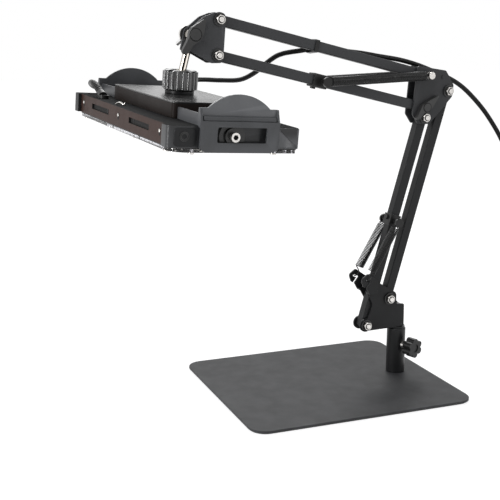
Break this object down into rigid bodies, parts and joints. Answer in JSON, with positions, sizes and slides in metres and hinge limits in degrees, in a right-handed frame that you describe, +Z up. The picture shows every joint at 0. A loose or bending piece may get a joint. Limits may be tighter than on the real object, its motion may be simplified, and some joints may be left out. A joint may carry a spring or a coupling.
{
  "type": "exposure lamp",
  "caption": "UV LED exposure lamp: a flat lamp head on a ball joint and a spring balanced double arm, standing on a steel base plate.",
  "frame": {"origin": "on the resting face of the foam pad, on the axis of the post", "axes": "+Z up, +X to the right edge of the base plate, which is nearest the post, +Y to the back; the arm reaches towards -X"},
  "size_m": [0.6672, 0.2855, 0.3849],
  "materials": {
    "pad": "closed-cell foam, fine texture",
    "plate_coat": "charcoal powder coat, fine texture",
    "post_coat": "satin black",
    "arm_lower": "matte black powder coat",
    "arm_upper": "matte dark grey powder coat",
    "zinc": "bright zinc",
    "bright": "polished",
    "spring_wire": "black oxide",
    "black_plastic": "moulded, satin",
    "ring_plastic": "gloss black",
    "nylon": "natural nylon",
    "housing_coat": "dark brown-grey, satin",
    "sink_alu": "extruded",
    "board": "white solder mask",
    "driver_pcb": "green circuit board",
    "led": "LED package",
    "gasket": "soft seal",
    "cover": "clear acrylic",
    "lid_gloss": "gloss dark grey",
    "bracket_coat": "satin dark grey",
    "cord_jacket": "black PVC"
  },
  "bodies": {
    "base": {"base_pad": "pad", "base_plate": "plate_coat", "post": "post_coat", "post_screw": "zinc", "cord_drop": "cord_jacket", "cord_coil": "cord_jacket", "plug": "black_plastic"},
    "clamp_knob": {"star_knob": "black_plastic", "star_knob_stud": "zinc"},
    "swivel": {"swivel_block": "post_coat", "lower_bracket_near": "arm_lower", "lower_bracket_far": "arm_lower", "lower_bolts": "zinc", "lower_nuts": "zinc", "lower_spring_near": "spring_wire", "lower_spring_far": "spring_wire"},
    "front_lower_bar": {"lower_bar_front": "arm_lower", "lower_spring_clip": "black_plastic"},
    "rear_lower_bar": {"lower_bar_rear": "arm_lower"},
    "mid_joint": {"mid_bracket_near": "arm_upper", "mid_bracket_far": "arm_upper", "mid_spacer": "post_coat", "mid_bolts": "zinc", "mid_nuts": "zinc", "mid_pivot_cap": "arm_upper", "upper_spring_near": "spring_wire", "upper_spring_far": "spring_wire", "cord_elbow": "cord_jacket"},
    "bottom_upper_bar": {"upper_bar_bottom": "arm_upper", "upper_spring_clip": "black_plastic"},
    "top_upper_bar": {"upper_bar_top": "arm_upper", "cord_arm": "cord_jacket", "cord_clips": "black_plastic"},
    "head": {"head_bracket_near": "arm_upper", "head_bracket_far": "arm_upper", "head_spacers": "post_coat", "head_bolts": "zinc", "head_nuts": "zinc", "tilt_bolt": "arm_upper"},
    "wing": {"wing_nut": "bright"},
    "rod": {"ball_stud": "bright"},
    "cup": {"ball_cup": "nylon"},
    "clamp_ring": {"lock_ring": "ring_plastic"},
    "lamp": {"ball_socket": "post_coat", "lamp_housing": "housing_coat", "heat_sink": "sink_alu", "led_board": "board", "led_chips": "led", "cover_gasket": "gasket", "clear_cover": "cover", "cover_screws": "zinc", "driver_case": "housing_coat", "driver_lid": "lid_gloss", "driver_board": "driver_pcb", "end_bracket_near": "bracket_coat", "end_bracket_far": "bracket_coat", "end_washers": "black_plastic", "end_bolts": "zinc", "cable_gland": "black_plastic", "cord_lamp": "cord_jacket"}
  },
  "joints": [
    {"name": "clamp_screw", "type": "hinge", "parent": "base", "child": "clamp_knob", "pos_m": [0.00488, -0.01418, 0.0355], "axis": [0.3256, -0.9455, 0], "range_deg": [-180, 180]},
    {"name": "swivel", "type": "hinge", "parent": "base", "child": "swivel", "pos_m": [0, 0, 0.0535], "axis": [0, 0, 1], "range_deg": [-150, 150]},
    {"name": "lower_arm", "type": "hinge", "parent": "swivel", "child": "front_lower_bar", "pos_m": [-0.04254, -0.00223, 0.0622], "axis": [0.0523, -0.9986, 0], "range_deg": [-10, 50], "deforming": ["lower_spring_near", "lower_spring_far", "cord_drop"]},
    {"name": "lower_arm_rear", "type": "hinge", "parent": "swivel", "child": "rear_lower_bar", "pos_m": [-0.01488, -0.00078, 0.08866], "axis": [0.0523, -0.9986, 0], "range_deg": [-10, 50]},
    {"name": "mid_level", "type": "hinge", "parent": "front_lower_bar", "child": "mid_joint", "pos_m": [0.02129, 0.00112, 0.27939], "axis": [0.0523, -0.9986, 0], "range_deg": [-50, 10]},
    {"name": "upper_arm", "type": "hinge", "parent": "mid_joint", "child": "bottom_upper_bar", "pos_m": [0.02099, 0.0011, 0.28999], "axis": [0.0523, -0.9986, 0], "range_deg": [-35, 28], "deforming": ["upper_spring_near", "upper_spring_far"]},
    {"name": "upper_arm_top", "type": "hinge", "parent": "mid_joint", "child": "top_upper_bar", "pos_m": [0.02314, 0.00121, 0.32249], "axis": [0.0523, -0.9986, 0], "range_deg": [-35, 28], "deforming": ["cord_elbow"]},
    {"name": "head_level", "type": "hinge", "parent": "top_upper_bar", "child": "head", "pos_m": [-0.20826, -0.01091, 0.37812], "axis": [0.0523, -0.9986, 0], "range_deg": [-28, 35]},
    {"name": "lamp_tilt", "type": "hinge", "parent": "head", "child": "rod", "pos_m": [-0.23383, -0.01225, 0.36452], "axis": [0.0523, -0.9986, 0], "range_deg": [-60, 30]},
    {"name": "wing_turn", "type": "hinge", "parent": "head", "child": "wing", "pos_m": [-0.23456, 0.00173, 0.36452], "axis": [-0.0523, 0.9986, 0], "range_deg": [-180, 180]},
    {"name": "ball_nod", "type": "hinge", "parent": "rod", "child": "cup", "pos_m": [-0.2451, -0.01285, 0.32354], "axis": [0.9938, 0.0916, -0.0627], "range_deg": [-15, 15]},
    {"name": "ball_turn", "type": "hinge", "parent": "cup", "child": "lamp", "pos_m": [-0.2451, -0.01285, 0.32354], "axis": [0.0666, -0.0395, 0.997], "range_deg": [-60, 60], "deforming": ["cord_lamp"]},
    {"name": "ring_turn", "type": "hinge", "parent": "lamp", "child": "clamp_ring", "pos_m": [-0.2451, -0.01285, 0.32354], "axis": [0.0666, -0.0395, 0.997], "range_deg": [-180, 180]}
  ],
  "couplings": [
    {"joint": "lower_arm_rear", "follows": "lower_arm", "ratio": 1},
    {"joint": "mid_level", "follows": "lower_arm", "ratio": -1},
    {"joint": "upper_arm_top", "follows": "upper_arm", "ratio": 1},
    {"joint": "head_level", "follows": "upper_arm", "ratio": -1}
  ]
}
